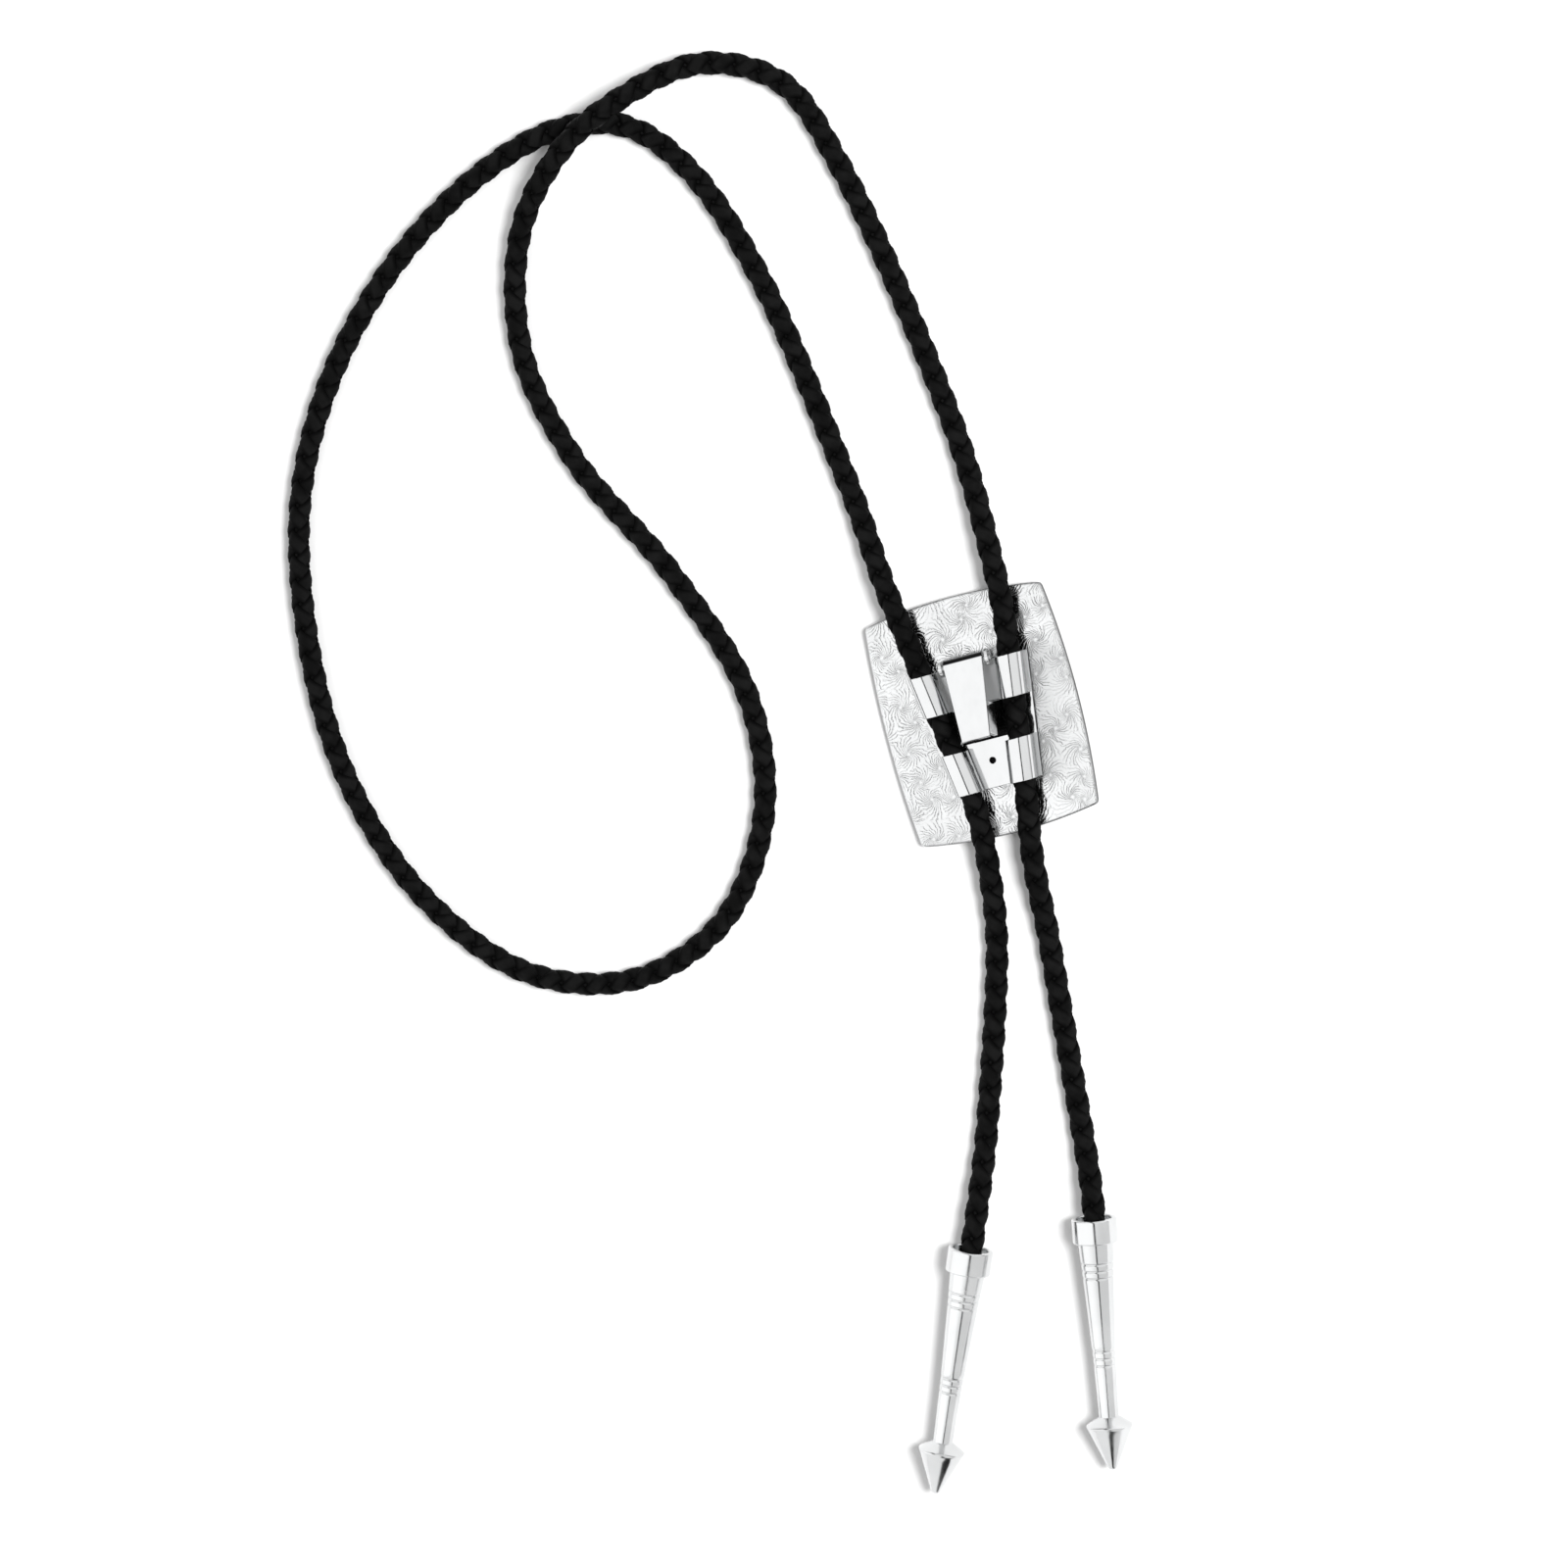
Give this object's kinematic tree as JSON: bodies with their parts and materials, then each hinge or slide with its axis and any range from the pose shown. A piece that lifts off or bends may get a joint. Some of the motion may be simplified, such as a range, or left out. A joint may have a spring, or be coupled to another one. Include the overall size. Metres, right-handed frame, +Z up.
{
  "type": "bolo tie",
  "caption": "Domed slide plate with a lever clip on its back, on a braided leather cord that ends in two pointed metal tips.",
  "frame": {"origin": "the lowest point of the slide plate, at the middle of its face, on the surface that the tie lies on face down", "axes": "+Y to the top of the plate, +X to the right as the back is seen, +Z up out of the back"},
  "size_m": [0.1408, 0.2649, 0.0116],
  "materials": {
    "plate": "polished silver-coloured metal, engraved",
    "clip": "bright plated steel",
    "cord": "black four-strand braid, satin",
    "tips": "polished silver-coloured metal"
  },
  "bodies": {
    "slide": {"slide_plate": "plate", "clip_frame": "clip", "hinge_pin": "clip", "cord": "cord", "tip_left": "tips", "tip_right": "tips"},
    "lever": {"lever": "clip"}
  },
  "joints": [
    {"name": "lever_hinge", "type": "hinge", "parent": "slide", "child": "lever", "pos_m": [0, 0.0097, 0.00468], "axis": [-1, 0, 0], "range_deg": [-20, 60]}
  ]
}
